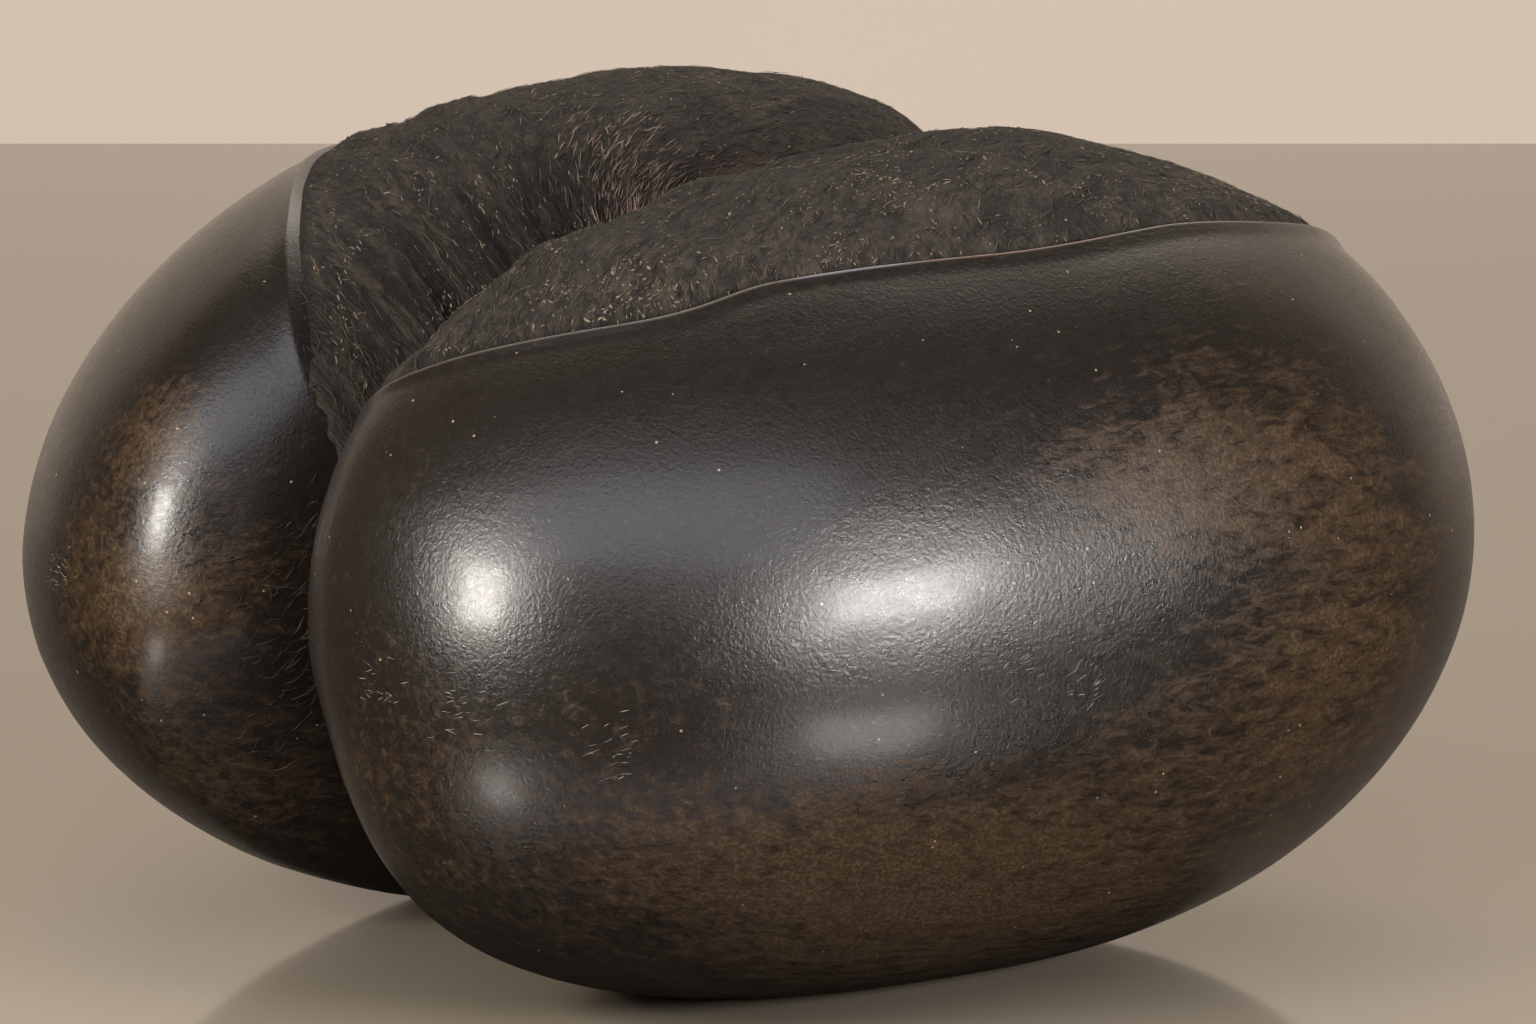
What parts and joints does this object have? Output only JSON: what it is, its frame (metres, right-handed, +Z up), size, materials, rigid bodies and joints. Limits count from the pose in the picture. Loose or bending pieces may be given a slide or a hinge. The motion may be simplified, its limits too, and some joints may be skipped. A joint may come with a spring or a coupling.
{
  "type": "coco de mer seed",
  "caption": "Whole dried double nut of a sea coconut palm: polished lobes joined along half their length, with a cleft and a fibrous face, for display.",
  "frame": {"origin": "under the middle of the nut, on the surface that it lies on", "axes": "+X runs along the lobes from the open cleft to the joined end, +Y from one lobe to the other, +Z up out of the fibrous face"},
  "size_m": [0.3073, 0.3207, 0.2007],
  "materials": {
    "shell": "hand-polished dark brown shell with a satin gloss, rough and matt on the fibrous face"
  },
  "bodies": {
    "root": {"seed": "shell"}
  },
  "joints": []
}
